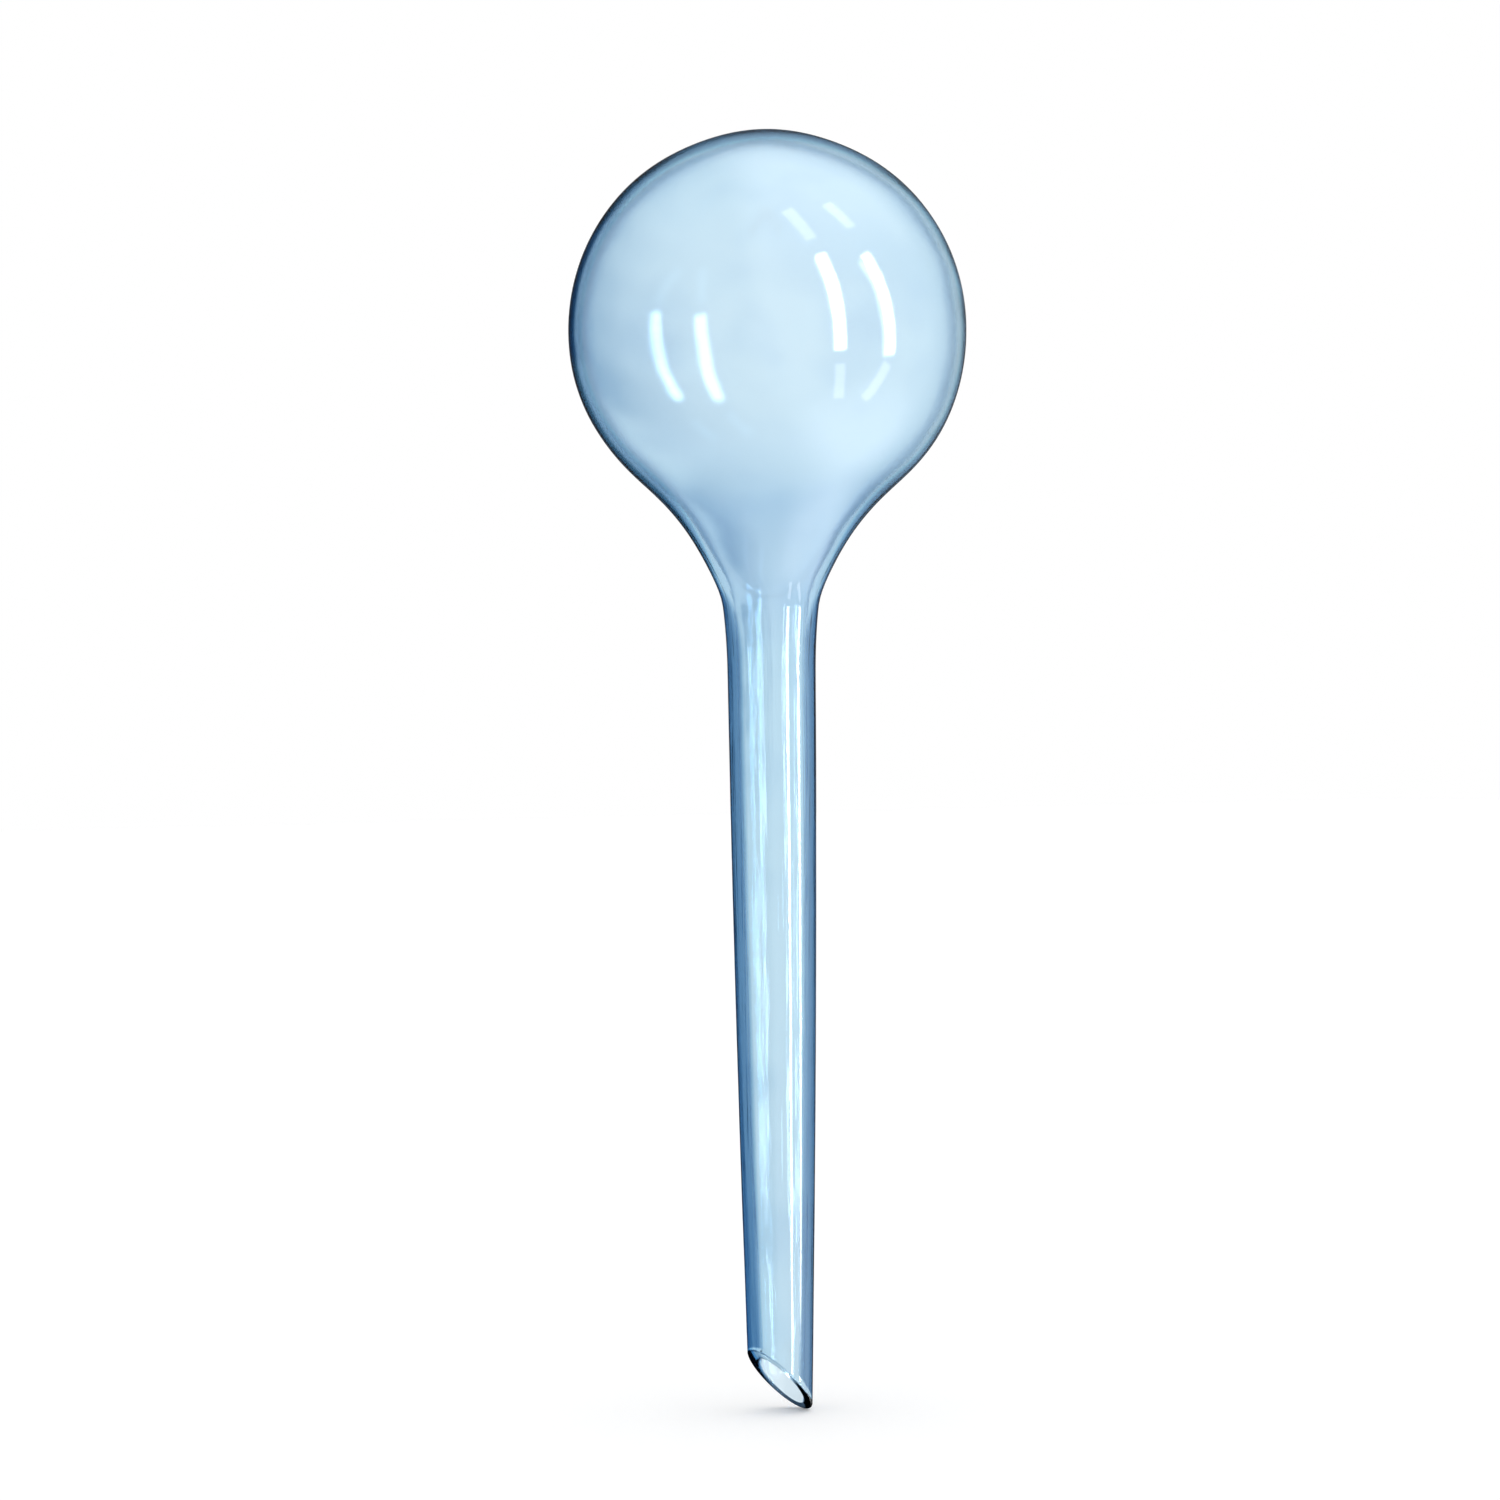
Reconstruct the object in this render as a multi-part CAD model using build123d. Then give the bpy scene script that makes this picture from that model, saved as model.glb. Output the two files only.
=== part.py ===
from build123d import *
import os
from math import cos, radians, sin, sqrt

os.makedirs("parts", exist_ok=True)

# A self-watering globe for plant pots: one clear plastic wall blown in a mould, as a bulb, a flared
# neck and a long tapering stem, trimmed open on a slant at the tip. It stands as it does in the
# soil, tip down. The origin is on the stem's axis, level with the lowest point of the tip, +Z runs
# up through the bulb, and the long side of the slanting tip is towards +X.

# Overall and bulb, in millimetres
overall_length = 245.0
bulb_diameter = 76.2
bulb_wall = 1.9

# Neck: three hollow curves, each tangent to the next. A lean is the angle in degrees between the
# wall and the axis where a curve ends.
flare_radius = 44.6
flare_end_lean = 16.4
shoulder_radius = 3.4
shoulder_end_lean = 6.6
throat_radius = 122.0

# Stem. It swells slightly down to its last stretch, which tapers evenly. It leaves the mould a
# little longer than it is used, and the trim cut takes that blank end off.
stem_top_diameter = 16.9
stem_top_lean = 0.4
stem_lower_diameter = 13.2
even_taper_length = 24.0
stem_wall = 2.1
blank_end = 4.0

# Slanting trim cut at the tip, its angle measured from level, and the softened rim it leaves
bevel_angle = 46.5
rim_rounding = 0.9

ring_height = overall_length - bulb_diameter / 2
flare_lean = radians(flare_end_lean)
shoulder_lean = radians(shoulder_end_lean)
top_lean = radians(stem_top_lean)


def skin_profile(bulb_inset, stem_inset):
    """Half outline of one skin of the wall, drawn as radius and height, from the crown down to the
    blank end of the stem. The insets are how far it lies inside the outer skin. The flare's centre
    is placed so that the curves below it end exactly on the stem's top radius."""
    ring_radius = bulb_diameter / 2 - bulb_inset
    stem_top_radius = stem_top_diameter / 2 - stem_inset
    stem_lower_radius = stem_lower_diameter / 2 - stem_inset
    flare = flare_radius + (bulb_inset + stem_inset) / 2
    shoulder = shoulder_radius + stem_inset
    throat = throat_radius + stem_inset

    # Radius at the foot of each hollow curve, worked from the stem upwards
    shoulder_foot = stem_top_radius + throat * (cos(top_lean) - cos(shoulder_lean))
    flare_foot = shoulder_foot + shoulder * (cos(shoulder_lean) - cos(flare_lean))

    # The flare touches the round of the bulb, so their centres are both radii apart
    reach = ring_radius + flare
    centre_out = flare_foot + flare * cos(flare_lean)
    centre_drop = sqrt(reach**2 - centre_out**2)

    # Height at the foot of each hollow curve, worked from the ring downwards
    flare_foot_height = ring_height - centre_drop + flare * sin(flare_lean)
    shoulder_foot_height = flare_foot_height - shoulder * (sin(flare_lean) - sin(shoulder_lean))
    stem_top_height = shoulder_foot_height - throat * (sin(shoulder_lean) - sin(top_lean))

    crown = (0, ring_height + ring_radius)
    towards_flare = Vector(centre_out, -centre_drop).normalized()
    flare_start = Vector(0, ring_height) + towards_flare * ring_radius

    bulb_side = TangentArc(crown, flare_start, tangent=(1, 0))
    flare_side = TangentArc(flare_start, (flare_foot, flare_foot_height), tangent=bulb_side % 1)
    shoulder_side = TangentArc(
        flare_side @ 1, (shoulder_foot, shoulder_foot_height), tangent=flare_side % 1
    )
    throat_side = TangentArc(
        shoulder_side @ 1, (stem_top_radius, stem_top_height), tangent=shoulder_side % 1
    )
    stem_side = TangentArc(
        throat_side @ 1, (stem_lower_radius, even_taper_length), tangent=throat_side % 1
    )
    down = stem_side % 1
    tip_length = (even_taper_length + blank_end) / -down.Y
    tip_side = Line(stem_side @ 1, stem_side @ 1 + down * tip_length)
    return [bulb_side, flare_side, shoulder_side, throat_side, stem_side, tip_side]


def turned(profile):
    """Solid that a half outline sweeps when it is turned once about the axis. It starts towards -X,
    the short side of the tip, so that the surface's seam keeps clear of the tip's sharp side."""
    end = profile[-1] @ 1
    foot = Line(end, (0, end.Y))
    axis_line = Line((0, end.Y), profile[0] @ 0)
    half_section = make_face([*profile, foot, axis_line])
    start = Plane(origin=(0, 0, 0), x_dir=(-1, 0, 0), z_dir=(0, 1, 0))
    return revolve(start * half_section, Axis.Z)


def trim_plane(wall_down):
    """Plane of the trim cut. Its sharp lower corner lies a little below the origin, so that the
    softened rim's lowest point comes level with it. wall_down is the way the outer skin's even taper
    runs, drawn as radius and height."""
    slope = radians(bevel_angle)
    along_cut = Vector(-cos(slope), sin(slope))
    wall_up = wall_down * -1
    half_wedge = radians(along_cut.get_angle(wall_up)) / 2
    bisector = (along_cut + wall_up).normalized()
    corner_height = rim_rounding * (1 - bisector.Y / sin(half_wedge))
    below_taper_top = even_taper_length - corner_height
    corner_radius = stem_lower_diameter / 2 - below_taper_top * wall_down.X / wall_down.Y
    return Plane(
        origin=(corner_radius, 0, corner_height),
        x_dir=(0, 1, 0),
        z_dir=(sin(slope), 0, cos(slope)),
    )


# Blown wall: the outer skin's form, emptied by the inner skin's form
outer_skin = skin_profile(0, 0)
inner_skin = skin_profile(bulb_wall, stem_wall)
blown_wall = turned(outer_skin) - turned(inner_skin)

# Trim cut across the stem, and its softened inner and outer edge
cut = trim_plane(outer_skin[-1] % 1)
trimmed_wall = split(blown_wall, bisect_by=cut, keep=Keep.TOP)
cut_face = trimmed_wall.faces().sort_by(Axis(cut.origin, cut.z_dir))[0]
globe_shell = fillet(cut_face.edges(), rim_rounding)
globe_shell.label = "globe_shell"

export_step(globe_shell, "parts/globe_shell.step")

box = globe_shell.bounding_box()
print("length", round(box.size.Z, 3), "lowest point", round(box.min.Z, 3))
print("bulb across", round(box.size.X, 3), "plastic", round(globe_shell.volume, 1), "cubic mm")
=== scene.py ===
import bpy
import numpy as np
from mathutils import Matrix, Vector


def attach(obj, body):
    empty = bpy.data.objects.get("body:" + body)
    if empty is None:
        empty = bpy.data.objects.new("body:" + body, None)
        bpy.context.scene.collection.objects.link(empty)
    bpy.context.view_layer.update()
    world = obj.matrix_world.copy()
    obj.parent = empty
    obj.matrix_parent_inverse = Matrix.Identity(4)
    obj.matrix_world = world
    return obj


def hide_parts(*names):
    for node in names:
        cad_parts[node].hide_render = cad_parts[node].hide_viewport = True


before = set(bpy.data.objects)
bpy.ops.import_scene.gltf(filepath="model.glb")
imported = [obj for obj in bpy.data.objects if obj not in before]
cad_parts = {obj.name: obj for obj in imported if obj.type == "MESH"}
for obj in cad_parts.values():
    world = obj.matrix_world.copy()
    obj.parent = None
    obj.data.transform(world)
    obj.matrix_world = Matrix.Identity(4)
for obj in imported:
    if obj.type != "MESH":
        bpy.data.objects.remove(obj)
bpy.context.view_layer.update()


# The blown wall. The real globe is one piece of clear, pale blue plastic tube, blown out against a
# split mould as bulb, flared neck and long tapering stem, then trimmed open on a slant at the tip.
# The outer skin has the mould's form, and the inner skin is free, so it wanders a little.
OVERALL_LENGTH = 245.0          # millimetres, as are all sizes in this section
BULB_DIAMETER = 76.2
BULB_WALL = 1.9
FLARE_RADIUS = 44.6
FLARE_END_LEAN = np.radians(16.4)
SHOULDER_RADIUS = 3.4
SHOULDER_END_LEAN = np.radians(6.6)
THROAT_RADIUS = 122.0
STEM_TOP_DIAMETER = 16.9
STEM_TOP_LEAN = np.radians(0.4)
STEM_LOWER_DIAMETER = 13.2
EVEN_TAPER_LENGTH = 24.0
STEM_WALL = 2.1
BEVEL = np.radians(46.5)
RIM_ROUNDING = 0.5
PARTING_LINE = np.radians(-36.0)  # the angle round the axis of one of the mould's two seams
RING_HEIGHT = OVERALL_LENGTH - BULB_DIAMETER / 2

# How finely the wall is drawn: columns of points round it, rows down one skin and up the other, and
# the steps in which each curve of the outline is worked out before its rows are spaced evenly
COLUMNS = 200
ROW_SPACING = 1.4
TAPER_ROWS = 14
RIM_CORNER_ROWS = 12
BULB_STEPS, FLARE_STEPS, SHOULDER_STEPS, THROAT_STEPS, STEM_STEPS = 400, 200, 20, 80, 400
TURN = np.linspace(0, 2 * np.pi, COLUMNS + 1)[:-1]


def eased_step(value, start, end):
    """0 before the start, 1 past the end, and 3t² - 2t³ between them."""
    t = np.clip((value - start) / (end - start), 0, 1)
    return t * t * (3 - 2 * t)


def hollow_curve(foot_radius, foot_height, curve_radius, start_lean, foot_lean, steps):
    """Arc of a hollow curve down to its foot: at each lean of the wall, the foot's place plus the
    curve's radius times how far the lean's cosine and sine are from those of the foot's lean."""
    lean = np.linspace(start_lean, foot_lean, steps)[1:]
    return np.stack([
        foot_radius + curve_radius * (np.cos(foot_lean) - np.cos(lean)),
        foot_height + curve_radius * (np.sin(lean) - np.sin(foot_lean)),
    ])


def skin_outline(bulb_inset, stem_inset):
    """Radius and height of one skin, from beside the crown down to the top of the even taper, and
    the taper's slope as radius lost for each millimetre down. Each curve is a circle's arc that
    leaves the one above it without a corner. The insets are how far the skin lies inside the outer
    one, at the bulb and at the stem."""
    beside_crown = 0.03         # radians from the axis to the first row, seen from the bulb's middle
    ring = BULB_DIAMETER / 2 - bulb_inset
    top = STEM_TOP_DIAMETER / 2 - stem_inset
    lower = STEM_LOWER_DIAMETER / 2 - stem_inset
    flare = FLARE_RADIUS + (bulb_inset + stem_inset) / 2
    shoulder = SHOULDER_RADIUS + stem_inset
    throat = THROAT_RADIUS + stem_inset

    # Radius at the foot of each hollow curve, worked from the stem upwards
    shoulder_foot = top + throat * (np.cos(STEM_TOP_LEAN) - np.cos(SHOULDER_END_LEAN))
    flare_foot = shoulder_foot + shoulder * (np.cos(SHOULDER_END_LEAN) - np.cos(FLARE_END_LEAN))

    # The flare touches the round of the bulb, so their centres are both radii apart
    centre_out = flare_foot + flare * np.cos(FLARE_END_LEAN)
    centre_drop = np.sqrt((ring + flare) ** 2 - centre_out ** 2)

    # Height at the foot of each hollow curve, worked from the ring downwards
    shoulder_drop = shoulder * (np.sin(FLARE_END_LEAN) - np.sin(SHOULDER_END_LEAN))
    throat_drop = throat * (np.sin(SHOULDER_END_LEAN) - np.sin(STEM_TOP_LEAN))
    flare_foot_height = RING_HEIGHT - centre_drop + flare * np.sin(FLARE_END_LEAN)
    shoulder_foot_height = flare_foot_height - shoulder_drop
    stem_top_height = shoulder_foot_height - throat_drop

    meeting = np.arctan2(centre_drop, centre_out)
    angle = np.linspace(np.pi / 2 - beside_crown, -meeting, BULB_STEPS)
    bulb_side = np.stack([ring * np.cos(angle), RING_HEIGHT + ring * np.sin(angle)])
    flare_side = hollow_curve(
        flare_foot, flare_foot_height, flare, meeting, FLARE_END_LEAN, FLARE_STEPS
    )
    shoulder_side = hollow_curve(
        shoulder_foot, shoulder_foot_height, shoulder, FLARE_END_LEAN, SHOULDER_END_LEAN,
        SHOULDER_STEPS,
    )
    throat_side = hollow_curve(
        top, stem_top_height, throat, SHOULDER_END_LEAN, STEM_TOP_LEAN, THROAT_STEPS
    )

    # The stem swells: its arc starts along the throat's end and passes through the taper's top
    chord = np.array([lower - top, EVEN_TAPER_LENGTH - stem_top_height])
    start_heading = np.arctan2(-np.cos(STEM_TOP_LEAN), -np.sin(STEM_TOP_LEAN))
    half_turn = np.arctan2(chord[1], chord[0]) - start_heading
    arc_radius = np.hypot(*chord) / (2 * np.sin(half_turn))
    heading = start_heading + 2 * half_turn * np.linspace(0, 1, STEM_STEPS)[1:]
    stem_side = np.stack([
        top + arc_radius * (np.sin(heading) - np.sin(start_heading)),
        stem_top_height - arc_radius * (np.cos(heading) - np.cos(start_heading)),
    ])
    slope = np.cos(heading[-1]) / np.sin(heading[-1])
    sides = np.concatenate([bulb_side, flare_side, shoulder_side, throat_side, stem_side], axis=1)
    return blown_soft(evenly_spaced(sides)), slope


def evenly_spaced(line):
    """The same line with a point about every ROW_SPACING along it."""
    walked = np.concatenate([[0], np.cumsum(np.hypot(*np.diff(line, axis=1)))])
    marks = np.linspace(0, walked[-1], int(round(walked[-1] / ROW_SPACING)) + 1)
    return np.stack([np.interp(marks, walked, line[0]), np.interp(marks, walked, line[1])])


def blown_soft(line):
    """Hot plastic doesn't follow a mould's sudden change of curve. Each point moves towards the
    bell-weighted mean of its neighbours, over about 3 mm through the flare and 1 mm below it, where
    the corner above the stem stays crisp. The bulb and the lower stem stay as they are."""
    neighbours = 7
    stretches = (
        # reach of the mean, and the heights over which it eases in from below and out above
        (3.0, (157, 163), (192, 204)),
        (1.0, (112, 128), (157, 163)),
    )
    ends = ((0, 0), (neighbours, neighbours))
    padded = np.pad(line, ends, mode="reflect", reflect_type="odd")
    apart = np.arange(-neighbours, neighbours + 1) * ROW_SPACING
    soft = line.copy()
    for reach, foot, top in stretches:
        bell = np.exp(-0.5 * (apart / reach) ** 2)
        mean = np.stack([np.convolve(row, bell / bell.sum(), "valid") for row in padded])
        soft += eased_step(line[1], *foot) * (1 - eased_step(line[1], *top)) * (mean - line)
    return soft


def even_taper(lower_radius, slope, height):
    """Radius on the straight cone below the even taper's top: it changes evenly with the height."""
    return lower_radius + slope * (height - EVEN_TAPER_LENGTH)


def trimmed_rim(outer_lower, outer_slope, inner_lower, inner_slope):
    """The rim that the trim cut leaves, as rows of radius and height over every turn angle, from the
    outer skin round to the inner one. In each half plane through the axis the cut is a straight line
    from skin to skin, and each of its two corners is rounded by a circle's arc that touches both
    lines. Heights are first shrunk by how far the cut leans sideways there, so that the arc is a
    true circle seen along the edge, and stretched back afterwards."""
    wall_up = np.array([outer_slope, 1.0]) / np.hypot(outer_slope, 1.0)
    along_cut = np.array([-np.cos(BEVEL), np.sin(BEVEL)])
    half_wedge = np.arccos(wall_up @ along_cut) / 2
    bisector = (wall_up + along_cut) / np.linalg.norm(wall_up + along_cut)
    corner_height = RIM_ROUNDING * (1 - bisector[1] / np.sin(half_wedge))
    corner_radius = even_taper(outer_lower, outer_slope, corner_height)
    fall = np.cos(TURN) * np.tan(BEVEL)
    shrink = np.sqrt(1 + (np.sin(TURN) * np.tan(BEVEL)) ** 2)

    def corner(lower, slope):
        """Where a skin's straight line meets the cut's line, over every turn angle."""
        base = corner_height + corner_radius * np.tan(BEVEL)
        radius = (lower + slope * (base - EVEN_TAPER_LENGTH)) / (1 + slope * fall)
        return np.stack([radius, (base - radius * fall) / shrink])

    def unit(radius_part, height_part):
        """A direction in the shrunk half plane."""
        direction = np.stack(np.broadcast_arrays(radius_part, height_part / shrink))
        return direction / np.linalg.norm(direction, axis=0)

    def rounded(point, first, second):
        """Arc that rounds a corner between two lines that leave it, from the first to the second."""
        half = np.arccos(np.clip(np.sum(first * second, axis=0), -1, 1)) / 2
        middle = (first + second) / np.linalg.norm(first + second, axis=0)
        centre = point + middle * RIM_ROUNDING / np.sin(half)
        start = point + first * RIM_ROUNDING / np.tan(half) - centre
        end = point + second * RIM_ROUNDING / np.tan(half) - centre
        sweep = np.pi - 2 * half
        t = np.linspace(0, 1, RIM_CORNER_ROWS)[:, None]
        weight_start = np.sin((1 - t) * sweep) / np.sin(sweep)
        weight_end = np.sin(t * sweep) / np.sin(sweep)
        return centre[:, None] + start[:, None] * weight_start + end[:, None] * weight_end

    inward = unit(-1.0, fall)
    outer_arc = rounded(corner(outer_lower, outer_slope), unit(outer_slope, 1.0), inward)
    inner_arc = rounded(corner(inner_lower, inner_slope), -inward, unit(inner_slope, 1.0))
    both = np.concatenate([outer_arc, inner_arc], axis=1)
    return both[0], both[1] * shrink


def wander(angle, height, seed):
    """Smooth unevenness between -1 and 1: a sum of waves round and along the wall, each with its own
    number of lobes, wavelength and strength, and with a start that is drawn at random."""
    waves = ((2, 90, 0.30), (1, 46, 0.20), (3, 33, 0.16), (2, 21, 0.12), (4, 15, 0.12), (5, 9, 0.10))
    dice = np.random.default_rng(seed)
    total = np.zeros(np.broadcast(angle, height).shape)
    for lobes, wavelength, strength in waves:
        turn, rise = dice.uniform(0, 2 * np.pi, 2)
        round_wall = np.sin(lobes * angle + turn + np.sin(height / wavelength + rise))
        total += strength * round_wall * np.sin(2 * np.pi * height / wavelength + rise)
    return total


# Both skins and the rim between them, as one grid: from beside the crown down the outer skin, round
# the rim, and up the inner skin. inward_share is 0 on the outer skin and 1 on the inner one.
outer_line, outer_slope = skin_outline(0, 0)
inner_line, inner_slope = skin_outline(BULB_WALL, STEM_WALL)
outer_lower = STEM_LOWER_DIAMETER / 2
inner_lower = outer_lower - STEM_WALL
rim_radius, rim_height = trimmed_rim(outer_lower, outer_slope, inner_lower, inner_slope)

down = np.linspace(0, 1, TAPER_ROWS + 2)[1:-1, None]
outer_taper_height = EVEN_TAPER_LENGTH + down * (rim_height[0] - EVEN_TAPER_LENGTH)
outer_taper_radius = even_taper(outer_lower, outer_slope, outer_taper_height)
inner_taper_height = rim_height[-1] + down * (EVEN_TAPER_LENGTH - rim_height[-1])
inner_taper_radius = rim_radius[-1] + down * (inner_lower - rim_radius[-1])

every_turn = np.ones(COLUMNS)
radius = np.concatenate([
    outer_line[0][:, None] * every_turn, outer_taper_radius, rim_radius, inner_taper_radius,
    inner_line[0][::-1, None] * every_turn,
])
height = np.concatenate([
    outer_line[1][:, None] * every_turn, outer_taper_height, rim_height, inner_taper_height,
    inner_line[1][::-1, None] * every_turn,
])
rows = np.arange(len(radius))[:, None]
outer_rows = outer_line.shape[1] + TAPER_ROWS
rim_rows = len(rim_radius)
on_outer = rows < outer_rows
on_inner = rows >= outer_rows + rim_rows
inward_share = np.clip((rows - outer_rows) / (rim_rows - 1), 0, 1) * every_turn

# Outer skin: a hair out of round, with the parting line's low ridge where the mould halves met, and
# across the crown the shallow scar where the mould pinched the hot tube shut. Inner skin: free, so
# the wall is a little thicker here and thinner there. The crown is slack in a ring round the scar.
# The ridge and the wander fade out towards the crown's middle, and the wander towards the rim too.
RIM_TOP = 16.0
FADING = 12.0
SHRINKAGE = 0.065
OUTER_WANDER, OUTER_SEED = 0.035, 3
INNER_WANDER, INNER_SEED = 0.16, 11
RIDGE_HEIGHT, RIDGE_WIDTH, RIDGE_STARTS = 0.05, 0.28, (20, 40)
SCAR_DEPTH, SCAR_WIDTH, SCAR_ENDS = 0.13, 0.35, (4.5, 7.5)
SLACK_DEPTH, SLACK_RADIUS, SLACK_WIDTH = 0.28, 15.0, 9.0
clear_of_rim = np.clip((height - RIM_TOP) / FADING, 0, 1)
clear_of_crown = np.clip(radius / FADING, 0, 1)
from_line = np.abs((TURN - PARTING_LINE + np.pi / 2) % np.pi - np.pi / 2) * radius
ridge = RIDGE_HEIGHT * np.exp(-(from_line / RIDGE_WIDTH) ** 2) * eased_step(height, *RIDGE_STARTS)
shrunk = (SHRINKAGE + OUTER_WANDER * wander(TURN, height, OUTER_SEED)) * clear_of_rim
outer_change = (ridge - shrunk) * clear_of_crown
inner_change = INNER_WANDER * wander(TURN, height, INNER_SEED) * clear_of_rim * clear_of_crown
radius = radius + (1 - inward_share) * outer_change + np.where(on_inner, inner_change, 0)
scar = np.exp(-(from_line / SCAR_WIDTH) ** 2) * (1 - eased_step(radius, *SCAR_ENDS)) * on_outer
slack = np.exp(-((radius - SLACK_RADIUS) / SLACK_WIDTH) ** 2) * (height > RING_HEIGHT)
height = height - SCAR_DEPTH * scar - SLACK_DEPTH * slack

# The globe as it left this mould: its lower bulb and flare stand nearly half a millimetre to one
# side and a little full, and towards the mouth the bore of the stem runs off centre.
FULLNESS, FULL_FROM, FULL_UP_TO = 0.28, (154, 166), (190, 206)
LEAN_ASIDE, LEAN_HEIGHT, LEAN_SPREAD = 0.45, 181, 12
BORE_ASIDE, BORE_CENTRED = 0.5, (10, 60)
LIFTED = (0, 20)
radius = radius + FULLNESS * eased_step(height, *FULL_FROM) * (1 - eased_step(height, *FULL_UP_TO))
aside = LEAN_ASIDE * np.exp(-((height - LEAN_HEIGHT) / LEAN_SPREAD) ** 2)
aside = aside + BORE_ASIDE * inward_share * (1 - eased_step(height, *BORE_CENTRED))
aside_x, aside_y = aside * np.cos(PARTING_LINE), aside * np.sin(PARTING_LINE)

# The rim stays on the plane of the cut as it moves aside, and its lowest point stays at the floor
rim_fall = np.where(on_outer | on_inner, 0, aside_x * np.tan(BEVEL))
height = height - rim_fall
height = height - np.minimum(height.min(), 0) * (1 - eased_step(height, *LIFTED))
points = np.stack([
    radius * np.cos(TURN) + aside_x, radius * np.sin(TURN) + aside_y, height,
], axis=-1)
poles = [(0, 0, OVERALL_LENGTH - SCAR_DEPTH), (0, 0, OVERALL_LENGTH - BULB_WALL)]
points = np.concatenate([points.reshape(-1, 3), poles]) * 0.001

column = np.arange(COLUMNS)
beside = (column + 1) % COLUMNS
row_start = np.arange(len(radius) - 1)[:, None] * COLUMNS
next_row = row_start + COLUMNS
quads = np.stack([
    row_start + column, next_row + column, next_row + beside, row_start + beside,
], axis=-1)
last_row = (len(radius) - 1) * COLUMNS
outer_pole = last_row + COLUMNS
inner_pole = outer_pole + 1
outer_fan = np.stack([np.full(COLUMNS, outer_pole), column, beside], axis=-1)
inner_fan = np.stack([np.full(COLUMNS, inner_pole), last_row + beside, last_row + column], axis=-1)
faces = quads.reshape(-1, 4).tolist() + outer_fan.tolist() + inner_fan.tolist()

wall_mesh = bpy.data.meshes.new("blown_wall")
wall_mesh.from_pydata(points.tolist(), [], faces)
wall_mesh.polygons.foreach_set("use_smooth", np.ones(len(faces), bool))


def mark_points(name, share, at_poles):
    """Give each point of the wall a number, under a name that the plastic reads it by: the grid's
    numbers row by row, then those of the outer and the inner pole."""
    mark = wall_mesh.attributes.new(name, "FLOAT", "POINT")
    numbers = np.concatenate([share.ravel(), at_poles])
    mark.data.foreach_set("value", numbers.astype(np.float32))


# How far in from its outline the wall is seen dark: painted shade of dark surroundings, together with
# the deeper tone of a long path through the plastic. The thick stem: nothing on the thin bulb, and
# further in where the stem is slim and on the side where the off-centre bore leaves the wall thick.
# The whole wall: further in through the neck, and less far on the bulb's thinner side.
STEM_ENDS, BULB_STARTS = (146, 168), (150, 168)
STEM_RADIUS, SLIMMEST_RADIUS, SLIM_GAIN = 8.4, 5.0, 1.5
STEM_SIDE_GAIN, OUTER_SIDE_GAIN, INNER_SIDE_LOSS = 0.14, 0.11, 0.04
NECK_GAIN, NECK_HEIGHT, NECK_SPREAD = 0.14, 167, 13
towards_thin = np.cos(TURN - PARTING_LINE)
thick_and_shade_reach = (1 - eased_step(height, *STEM_ENDS)) * (1 - STEM_SIDE_GAIN * towards_thin)
thick_and_shade_reach = thick_and_shade_reach * (STEM_RADIUS / np.maximum(radius, SLIMMEST_RADIUS)) ** SLIM_GAIN
mark_points("thick_and_shaded_edge", thick_and_shade_reach * on_outer, (0, 0))
bulb_thinness = towards_thin * radius / (BULB_DIAMETER / 2) * eased_step(height, *BULB_STARTS)
bulb_side_gain = (OUTER_SIDE_GAIN - INNER_SIDE_LOSS * inward_share) * bulb_thinness
neck_gain = NECK_GAIN * np.exp(-((height - NECK_HEIGHT) / NECK_SPREAD) ** 2)
mark_points("wall_edge", 1 - bulb_side_gain + neck_gain, (1, 1))
mark_points("inner_skin", inward_share, (0, 1))

# The trim cut, by rows of the rim: painted shade as a dark line along its outer corner, strongest
# towards the far side of the mouth, and as a dark face towards the tip's long side. The bore of the
# stem has draw lines.
CORNER_STARTS, CORNER_ENDS = (1, 5), (8, 12)
CORNER_SHARE, CORNER_CHANGE = 0.6, 0.4
FACE_STARTS, FACE_ENDS = (4, 9), (16, 21)
FACE_SHARE, FACE_CHANGE = 0.5, 0.5
FACE_DARKEST = np.radians(15.0)
BORE_SKIN, BORE_ENDS = (0.5, 1.0), (140, 165)
rim_row = rows - outer_rows
corner_shade_line = eased_step(rim_row, *CORNER_STARTS) * (1 - eased_step(rim_row, *CORNER_ENDS))
corner_shade_line = corner_shade_line * (CORNER_SHARE + CORNER_CHANGE * np.sin(TURN))
cut_face_shade = eased_step(rim_row, *FACE_STARTS) * (1 - eased_step(rim_row, *FACE_ENDS))
cut_face_shade = cut_face_shade * (FACE_SHARE + FACE_CHANGE * np.cos(TURN - FACE_DARKEST))
mark_points("cut_edge_shade", np.maximum(corner_shade_line, cut_face_shade), (0, 0))
drawn_bore = eased_step(inward_share, *BORE_SKIN) * (1 - eased_step(height, *BORE_ENDS))
mark_points("drawn_bore", drawn_bore, (0, 0))
wall_mesh.update()
blown_wall = bpy.data.objects.new("blown_wall", wall_mesh)
bpy.context.scene.collection.objects.link(blown_wall)

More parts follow.
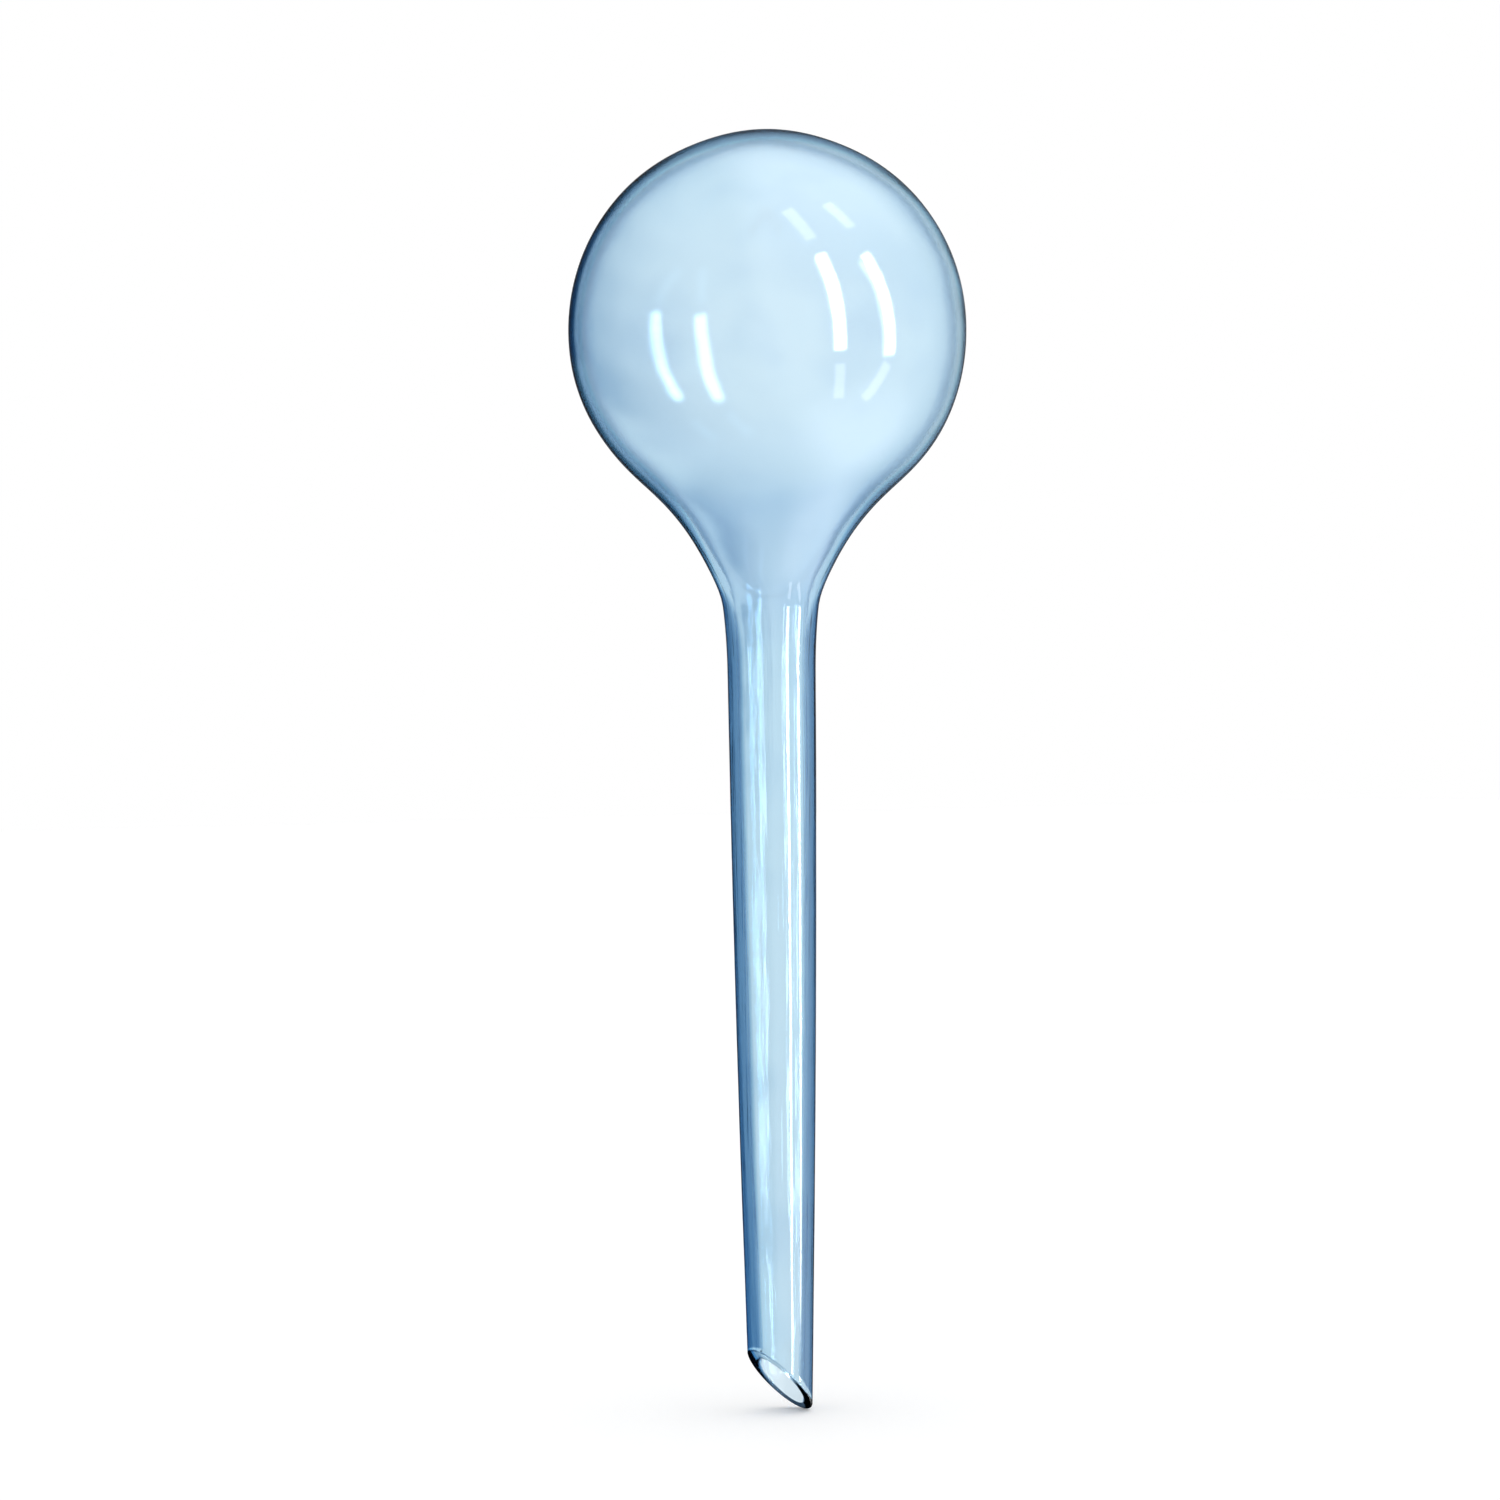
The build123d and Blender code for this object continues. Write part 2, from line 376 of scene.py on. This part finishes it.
# The plastic: clear and faintly blue, deeper in tone in the neck and stem where it was left thick and
# from painted shade there, navy where the wall is seen on edge, partly its long path through the
# plastic and partly painted shade of dark surroundings, and glossy from the mould with a very slight
# orange peel. In each list of tones, a share from 0 to 1 stands before the colour that the wall has
# there.
# Edge tones: partly the deeper tone of the long path through the plastic, partly painted shade of
# dark surroundings seen at the edges
OUTER_EDGE_TONES_AND_SHADE = (
    (0.68, (1.0, 1.0, 1.0)), (0.72, (0.55, 0.85, 0.95)), (0.755, (0.30, 0.47, 0.66)),
    (0.80, (0.22, 0.37, 0.57)), (0.86, (0.024, 0.09, 0.18)), (1.0, (0.006, 0.018, 0.04)),
)
INNER_EDGE_TONES_AND_SHADE = (
    (0.62, (1.0, 1.0, 1.0)), (0.687, (0.76, 0.81, 0.89)), (0.753, (0.42, 0.47, 0.62)),
    (0.785, (0.16, 0.28, 0.43)), (0.835, (0.10, 0.20, 0.35)), (1.0, (0.04, 0.10, 0.21)),
)
STEM_EDGE_TONES_AND_SHADE = (
    (0.23, (1.0, 1.0, 1.0)), (0.29, (0.42, 0.56, 0.70)), (0.35, (0.14, 0.25, 0.41)),
    (0.45, (0.06, 0.14, 0.28)), (1.0, (0.04, 0.11, 0.24)),
)
# Painted shade on the trim cut, from clear to near black
CUT_SHADE_TONES = (
    (0.0, (1.0, 1.0, 1.0)), (0.35, (0.30, 0.42, 0.55)), (0.6, (0.03, 0.06, 0.11)),
    (1.0, (0.002, 0.006, 0.015)),
)
# Painted shade by height: the plastic greyer and deeper in the neck and stem, beyond what its
# thickness gives
TONES_AND_SHADE_UP_THE_WALL = (
    (0.0, (0.92, 0.94, 0.95)), (0.40, (0.91, 0.94, 0.95)), (0.58, (0.89, 0.935, 0.955)),
    (0.63, (0.87, 0.91, 0.95)), (0.67, (0.843, 0.887, 0.935)), (0.695, (0.85, 0.893, 0.94)),
    (0.718, (0.95, 0.965, 0.98)), (0.735, (0.985, 0.99, 1.0)), (0.77, (1.0, 1.0, 1.0)),
)
CLOUD_TONES = ((0.34, (0.93, 0.95, 0.975)), (0.52, (1.0, 1.0, 1.0)))
clear_plastic = bpy.data.materials.new("clear_blue_plastic")
clear_plastic.use_nodes = True
wall_nodes, wall_links = clear_plastic.node_tree.nodes, clear_plastic.node_tree.links
plastic = wall_nodes["Principled BSDF"]
plastic.inputs["Roughness"].default_value = 0.07
plastic.inputs["IOR"].default_value = 1.53
plastic.inputs["Transmission Weight"].default_value = 1.0


def tone_ramp(source, stops, easing="LINEAR"):
    """Color Ramp node with a colour at each of some positions from 0 to 1."""
    ramp = wall_nodes.new("ShaderNodeValToRGB")
    ramp.color_ramp.interpolation = easing
    elements = ramp.color_ramp.elements
    elements[0].position, elements[0].color = stops[0][0], (*stops[0][1], 1)
    elements[1].position, elements[1].color = stops[-1][0], (*stops[-1][1], 1)
    for position, colour in stops[1:-1]:
        elements.new(position).color = (*colour, 1)
    wall_links.new(source, ramp.inputs["Fac"])
    return ramp.outputs["Color"]


def tones(kind, factor, first, second):
    """Mix node over two colours, by a number or by another node's."""
    mix = wall_nodes.new("ShaderNodeMix")
    mix.data_type, mix.blend_type = "RGBA", kind
    for name, value in (("Factor", factor), ("A", first), ("B", second)):
        if isinstance(value, float):
            mix.inputs[name].default_value = value
        else:
            wall_links.new(value, mix.inputs[name])
    return mix.outputs["Result"]


def marked(name):
    """The number that each point of the wall was given under a name."""
    mark = wall_nodes.new("ShaderNodeAttribute")
    mark.attribute_name = name
    return mark.outputs["Fac"]


def seen_on_edge(reach_name):
    """How far the wall is seen on edge, 0 face on and 1 edge on, times one of the mesh's reaches."""
    reached = wall_nodes.new("ShaderNodeMath")
    reached.operation = "MULTIPLY"
    wall_links.new(edge_on.outputs["Facing"], reached.inputs[0])
    wall_links.new(marked(reach_name), reached.inputs[1])
    return reached.outputs["Value"]


def noise(source, scale, detail):
    """Noise node over a place, with so many lumps a metre."""
    lumps = wall_nodes.new("ShaderNodeTexNoise")
    lumps.inputs["Scale"].default_value = scale
    lumps.inputs["Detail"].default_value = detail
    wall_links.new(source, lumps.inputs["Vector"])
    return lumps.outputs["Fac"]


# The wall darkens towards navy as it is seen on edge: painted shade together with the deeper tone of
# a long path
edge_on = wall_nodes.new("ShaderNodeLayerWeight")
edge_on.inputs["Blend"].default_value = 0.5
outer_tone = tone_ramp(seen_on_edge("wall_edge"), OUTER_EDGE_TONES_AND_SHADE)
inner_tone = tone_ramp(seen_on_edge("wall_edge"), INNER_EDGE_TONES_AND_SHADE)
thin_tone = tones("MIX", marked("inner_skin"), outer_tone, inner_tone)
stem_tone = tone_ramp(seen_on_edge("thick_and_shaded_edge"), STEM_EDGE_TONES_AND_SHADE)
# Painted shade on the trim cut's outer corner and face
cut_shade = tone_ramp(marked("cut_edge_shade"), CUT_SHADE_TONES)
edge_tone_and_shade = tones("MULTIPLY", 1.0, tones("MULTIPLY", 1.0, thin_tone, stem_tone), cut_shade)

place = wall_nodes.new("ShaderNodeTexCoord")
level = wall_nodes.new("ShaderNodeSeparateXYZ")
wall_links.new(place.outputs["Object"], level.inputs["Vector"])
# Painted shade by height up the wall, multiplied below with the random clouds of the plastic's own
# tone
up_the_wall = wall_nodes.new("ShaderNodeMapRange")
up_the_wall.inputs["From Max"].default_value = 0.25
wall_links.new(level.outputs["Z"], up_the_wall.inputs["Value"])
height_tone_and_shade = tone_ramp(up_the_wall.outputs["Result"], TONES_AND_SHADE_UP_THE_WALL)
clouds = noise(place.outputs["Object"], scale=42.0, detail=2.0)
cloud_tone = tone_ramp(clouds, CLOUD_TONES, "EASE")
body_tone_and_shade = tones("MULTIPLY", 1.0, height_tone_and_shade, cloud_tone)
wall_links.new(tones("MULTIPLY", 1.0, edge_tone_and_shade, body_tone_and_shade), plastic.inputs["Base Color"])

depth_tint = wall_nodes.new("ShaderNodeVolumeAbsorption")
depth_tint.inputs["Color"].default_value = (0.02, 0.625, 0.93, 1)
depth_tint.inputs["Density"].default_value = 116.0
wall_links.new(depth_tint.outputs["Volume"], wall_nodes["Material Output"].inputs["Volume"])

# Orange peel everywhere, and over it in the bore the lines that the tube was drawn with
dimples = noise(place.outputs["Object"], scale=420.0, detail=3.0)
peel = wall_nodes.new("ShaderNodeBump")
peel.inputs["Strength"].default_value = 0.05
peel.inputs["Distance"].default_value = 0.0001
wall_links.new(dimples, peel.inputs["Height"])
stretched = wall_nodes.new("ShaderNodeMapping")
stretched.inputs["Scale"].default_value = (1.0, 1.0, 0.03)
wall_links.new(place.outputs["Object"], stretched.inputs["Vector"])
furrows = noise(stretched.outputs["Vector"], scale=700.0, detail=2.0)
draw_lines = wall_nodes.new("ShaderNodeBump")
draw_lines.inputs["Distance"].default_value = 0.0002
wall_links.new(marked("drawn_bore"), draw_lines.inputs["Strength"])
wall_links.new(furrows, draw_lines.inputs["Height"])
wall_links.new(peel.outputs["Normal"], draw_lines.inputs["Normal"])
wall_links.new(draw_lines.outputs["Normal"], plastic.inputs["Normal"])
wall_mesh.materials.append(clear_plastic)
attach(blown_wall, "root")
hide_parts("globe_shell")


# The photograph's view: level with the middle of the stem, with a long lens, and tipped by less
# than a degree. Right, up and towards the camera are the three directions that the light is set by.
CAMERA_AZIMUTH = np.radians(-36.0)
CAMERA_TIPPED = np.radians(-0.73)
CAMERA_DISTANCE = 0.797         # metres, as are all sizes from here on
CAMERA_HEIGHT = 0.12657
CAMERA_RIGHT = -0.00433
to_camera = Vector((np.sin(CAMERA_AZIMUTH), -np.cos(CAMERA_AZIMUTH), 0.0))
to_right = Vector((np.cos(CAMERA_AZIMUTH), np.sin(CAMERA_AZIMUTH), 0.0))
upward = Vector((0.0, 0.0, 1.0))
lens = bpy.data.cameras.new("camera")
lens.lens = 100.0
lens.sensor_width = 36.0
camera = bpy.data.objects.new("camera", lens)
camera.location = to_right * CAMERA_RIGHT + upward * CAMERA_HEIGHT + to_camera * CAMERA_DISTANCE
camera.rotation_mode = "QUATERNION"
looking = (-to_camera).to_track_quat("-Z", "Y")
camera.rotation_quaternion = looking @ Matrix.Rotation(CAMERA_TIPPED, 3, "Z").to_quaternion()
bpy.context.scene.collection.objects.link(camera)
bpy.context.scene.camera = camera


# The floor: plain, white and matt, just under the tip. Seen straight by the camera it is as white as
# the room, and it keeps the globe's soft shadow.
FLOOR_REACH = 6
FLOOR_LIFT = 0.14
quarters = ((-1, -1), (1, -1), (1, 1), (-1, 1))
floor_corners = [(x * FLOOR_REACH, y * FLOOR_REACH, 0) for x, y in quarters]
floor_mesh = bpy.data.meshes.new("floor")
floor_mesh.from_pydata(floor_corners, [], [(0, 1, 2, 3)])
floor = bpy.data.objects.new("floor", floor_mesh)
bpy.context.scene.collection.objects.link(floor)
floor_paint = bpy.data.materials.new("white_floor")
floor_paint.use_nodes = True
paint_nodes, paint_links = floor_paint.node_tree.nodes, floor_paint.node_tree.links
matt = paint_nodes["Principled BSDF"]
matt.inputs["Base Color"].default_value = (0.93, 0.93, 0.93, 1)
matt.inputs["Roughness"].default_value = 0.9
matt.inputs["Specular IOR Level"].default_value = 0.1
matt.inputs["Emission Color"].default_value = (1, 1, 1, 1)
floor_ray = paint_nodes.new("ShaderNodeLightPath")
lift = paint_nodes.new("ShaderNodeMath")
lift.operation = "MULTIPLY"
lift.inputs[1].default_value = FLOOR_LIFT
paint_links.new(floor_ray.outputs["Is Camera Ray"], lift.inputs[0])
paint_links.new(lift.outputs["Value"], matt.inputs["Emission Strength"])
floor_mesh.materials.append(floor_paint)
floor.visible_glossy = False
floor.visible_transmission = False


# The room: white all round. Seen through the wall it has a dark blue stretch, up on the left of what
# lies behind the globe. In the wall's gloss it is darker to the left, low down and close behind, and
# brighter at the ceiling and low on the right.
LEFT_EDGE = 0.03
LEFT_SLANT = 0.45
DARKENING, DARKEST = 4.4, 0.95
LOW_LEFT_SLANT = 1.2
LOW_RIGHT = (0.85, 0.53)
room = bpy.data.worlds.new("room")
bpy.context.scene.world = room
room.use_nodes = True
room_nodes, room_links = room.node_tree.nodes, room.node_tree.links
sky = room_nodes["Background"]
way = room_nodes.new("ShaderNodeTexCoord")
ray = room_nodes.new("ShaderNodeLightPath")


def along(direction):
    """Node that gives how far the ray's way runs along a direction, which is the cosine between them
    where the direction is one long."""
    dot = room_nodes.new("ShaderNodeVectorMath")
    dot.operation = "DOT_PRODUCT"
    room_links.new(way.outputs["Generated"], dot.inputs[0])
    dot.inputs[1].default_value = direction
    return dot.outputs["Value"]


def number(operation, first, second=None):
    """Math node over one or two inputs, each a socket or a plain number."""
    made = room_nodes.new("ShaderNodeMath")
    made.operation = operation
    for slot, value in zip(made.inputs, (first, second)):
        if isinstance(value, (int, float)):
            slot.default_value = value
        elif value is not None:
            room_links.new(value, slot)
    return made.outputs[0]


def product(*factors):
    """Math nodes that multiply all of some sockets and plain numbers."""
    total = factors[0]
    for factor in factors[1:]:
        total = number("MULTIPLY", total, factor)
    return total


def eased(value, start, end, before, after):
    """Map Range node that eases from one value before the start to another after the end."""
    made = room_nodes.new("ShaderNodeMapRange")
    made.interpolation_type = "SMOOTHSTEP"
    room_links.new(value, made.inputs["Value"])
    made.inputs["From Min"].default_value = start
    made.inputs["From Max"].default_value = end
    made.inputs["To Min"].default_value = before
    made.inputs["To Max"].default_value = after
    return made.outputs["Result"]


off_behind = number("ARCCOSINE", along(-to_camera))
leftward, rise = along(-to_right), along(upward)

# Seen through the wall: how dark the stretch on the left is, and how far it goes round and down
past_edge = number("ADD", along(-to_right - upward * LEFT_SLANT), LEFT_EDGE)
left_depth = number("MINIMUM", product(number("MAXIMUM", past_edge, 0.0), DARKENING), DARKEST)
left_end = eased(off_behind, start=np.radians(24), end=np.radians(33), before=1.0, after=0.0)
above_stem = eased(rise, start=-0.01, end=0.05, before=0.0, after=1.0)
left_shade = product(left_depth, left_end, above_stem)

# In the wall's gloss: how bright the room is in each direction
off_low_left = along(upward + to_right * LOW_LEFT_SLANT)
off_low_right = along(upward * LOW_RIGHT[0] - to_right * LOW_RIGHT[1])
from_left = eased(leftward, start=-0.05, end=0.35, before=1.0, after=0.15)
from_low_left = eased(off_low_left, start=-0.9, end=-0.2, before=0.08, after=1.0)
from_low_right = eased(off_low_right, start=-1.0, end=-0.72, before=2.4, after=1.0)
from_behind = eased(off_behind, start=np.radians(42), end=np.radians(80), before=0.08, after=1.0)
ceiling = eased(rise, start=0.35, end=0.90, before=1.0, after=2.2)
mirrored = product(from_left, from_low_left, from_low_right, from_behind, ceiling)

is_through, is_glossy = ray.outputs["Is Transmission Ray"], ray.outputs["Is Glossy Ray"]
dusk = room_nodes.new("ShaderNodeMix")
dusk.data_type = "RGBA"
dusk.inputs["A"].default_value = (1, 1, 1, 1)
dusk.inputs["B"].default_value = (0.06, 0.23, 0.44, 1)
room_links.new(product(is_through, left_shade), dusk.inputs["Factor"])
room_links.new(dusk.outputs["Result"], sky.inputs["Color"])
only_gloss = product(is_glossy, number("SUBTRACT", 1.0, is_through))
dimmed = product(only_gloss, number("SUBTRACT", 1.0, mirrored))
room_links.new(number("SUBTRACT", 1.0, dimmed), sky.inputs["Strength"])


# Two tall windows to the right of the camera, each of three panes, far away. They give the paired
# curved strips on the bulb and the long ones down the stem. Each kind of pane has its width in
# degrees, its glow, and how many times as bright it shows from inside the wall as on the outer skin.
WINDOW_DISTANCE = 6.0
BULB_MIDDLE = 0.207
MIDDLE_PANE = {"width": 7, "glow": 16, "inside": 3.5}
TOP_PANE = {"width": 6.5, "glow": 3.2, "inside": 0.2}
FOOT_PANE = {"width": 6, "glow": 3.2, "inside": 0.2}


def far_away(right, up, near):
    """The place far from the bulb's middle that lies the way these shares to the right, up and
    towards the camera point."""
    direction = to_right * right + upward * up + to_camera * near
    return direction.normalized() * WINDOW_DISTANCE


def window_pane(name, foot, head, width, glow, inside):
    """Area lamp from the way that its foot lies to the way that its head lies. It is as wide as the
    angle given and faces the globe. It shows where the globe mirrors it once, so that one behind the
    globe doesn't drown it."""
    foot_place, head_place = far_away(*foot), far_away(*head)
    lamp = bpy.data.lights.new(name, "AREA")
    lamp.shape = "RECTANGLE"
    lamp.size = WINDOW_DISTANCE * np.radians(width)
    lamp.size_y = (head_place - foot_place).length
    lamp.energy = glow * np.pi * lamp.size * lamp.size_y
    pane = bpy.data.objects.new(name, lamp)
    middle = (foot_place + head_place) / 2
    out = middle.normalized()
    across = (head_place - foot_place).normalized().cross(out).normalized()
    facing = Matrix((across, out.cross(across), out)).transposed().to_4x4()
    pane.matrix_world = Matrix.Translation(middle + upward * BULB_MIDDLE) @ facing
    pane.visible_camera = False
    pane.visible_diffuse = False

    lamp.use_nodes = True
    lamp_nodes, lamp_links = lamp.node_tree.nodes, lamp.node_tree.links
    light_path = lamp_nodes.new("ShaderNodeLightPath")
    mirrored_once = lamp_nodes.new("ShaderNodeMath")
    mirrored_once.operation = "COMPARE"
    mirrored_once.inputs[1].default_value = 1.0
    mirrored_once.inputs[2].default_value = 0.5
    lamp_links.new(light_path.outputs["Glossy Depth"], mirrored_once.inputs[0])
    in_the_wall = lamp_nodes.new("ShaderNodeMapRange")
    in_the_wall.inputs["To Min"].default_value = 1.0
    in_the_wall.inputs["To Max"].default_value = inside
    lamp_links.new(light_path.outputs["Transmission Depth"], in_the_wall.inputs["Value"])
    strength = lamp_nodes.new("ShaderNodeMath")
    strength.operation = "MULTIPLY"
    lamp_links.new(mirrored_once.outputs["Value"], strength.inputs[0])
    lamp_links.new(in_the_wall.outputs["Result"], strength.inputs[1])
    lamp_links.new(strength.outputs["Value"], lamp_nodes["Emission"].inputs["Strength"])
    bpy.context.scene.collection.objects.link(pane)


panes = (
    # name, the way of its foot, the way of its head, kind
    ("window_left_middle", (0.667, -0.236, 0.712), (0.465, 0.599, 0.652), MIDDLE_PANE),
    ("window_right_middle", (0.955, -0.200, 0.236), (0.762, 0.558, 0.328), MIDDLE_PANE),
    ("window_left_top", (0.382, 0.711, 0.591), (0.161, 0.907, 0.388), TOP_PANE),
    ("window_right_top", (0.635, 0.735, 0.238), (0.434, 0.885, 0.169), TOP_PANE),
    ("window_left_foot", (0.594, -0.632, 0.497), (0.650, -0.357, 0.671), FOOT_PANE),
    ("window_right_foot", (0.763, -0.575, 0.295), (0.935, -0.266, 0.235), FOOT_PANE),
)
for name, foot, head, kind in panes:
    window_pane(name, foot, head, **kind)

bpy.context.scene.view_settings.view_transform = "Standard"
